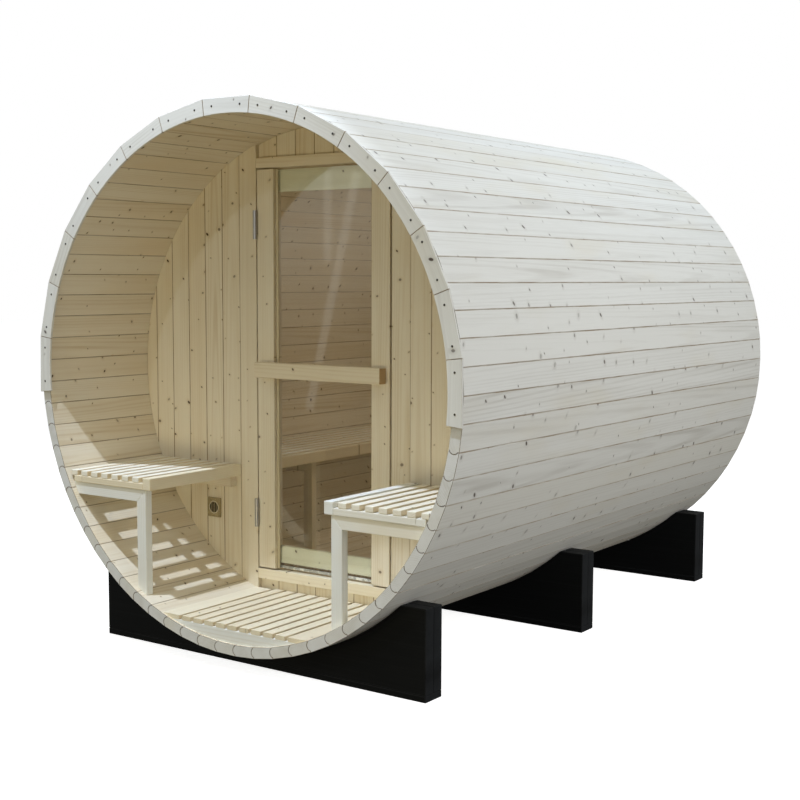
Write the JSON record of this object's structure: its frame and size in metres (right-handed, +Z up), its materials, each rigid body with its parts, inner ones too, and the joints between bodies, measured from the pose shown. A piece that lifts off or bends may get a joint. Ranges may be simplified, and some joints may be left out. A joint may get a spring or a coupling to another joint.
{
  "type": "barrel sauna",
  "caption": "Barrel-shaped outdoor sauna of bead-and-cove staves with an open porch, slatted benches, a hinged glazed door and dark cradles that carry it.",
  "frame": {"origin": "on the ground under the middle of the barrel, at the centre of the box's underside", "axes": "+X to the right of someone facing the door, +Y along the barrel from the porch to the back wall, +Z up"},
  "size_m": [1.8332, 2.379, 1.8918],
  "materials": {
    "washed_wood": "white-washed spruce, matt",
    "spruce": "natural planed spruce, matt",
    "black_paint": "satin black paint",
    "tinted_glass": "lightly tinted, polished",
    "steel": "satin",
    "seal_grey": "matt",
    "vent_khaki": "matt"
  },
  "bodies": {
    "shell": {"staves_right": "washed_wood", "staves_top": "washed_wood", "staves_left": "washed_wood", "staves_bottom": "washed_wood", "front_trim_ring": "washed_wood", "front_wall_left": "spruce", "front_wall_right": "spruce", "front_wall_over_door": "spruce", "front_wall_under_door": "spruce", "door_jambs": "spruce", "door_header": "spruce", "door_threshold": "spruce", "wall_vent": "vent_khaki", "back_wall": "spruce", "cradle_front": "black_paint", "cradle_middle": "black_paint", "cradle_back": "black_paint", "porch_floor_slats": "spruce", "porch_floor_bearers": "spruce", "left_bench_slats": "spruce", "left_bench_frame": "spruce", "left_bench_legs": "spruce", "right_bench_slats": "spruce", "right_bench_frame": "spruce", "right_bench_legs": "spruce", "inner_bench_slats": "spruce", "inner_bench_frame": "spruce", "inner_bench_legs": "spruce", "frame_hinge_leaves": "steel"},
    "door": {"door_stiles": "spruce", "door_rails": "spruce", "door_glass": "tinted_glass", "door_glazing_beads": "spruce", "door_bar": "spruce", "door_seal": "seal_grey", "door_hinge_leaves": "steel"}
  },
  "joints": [
    {"name": "door_hinge", "type": "hinge", "parent": "shell", "child": "door", "pos_m": [-0.3025, -0.6998, 0.976], "axis": [0, 0, -1], "range_deg": [0, 90]}
  ]
}
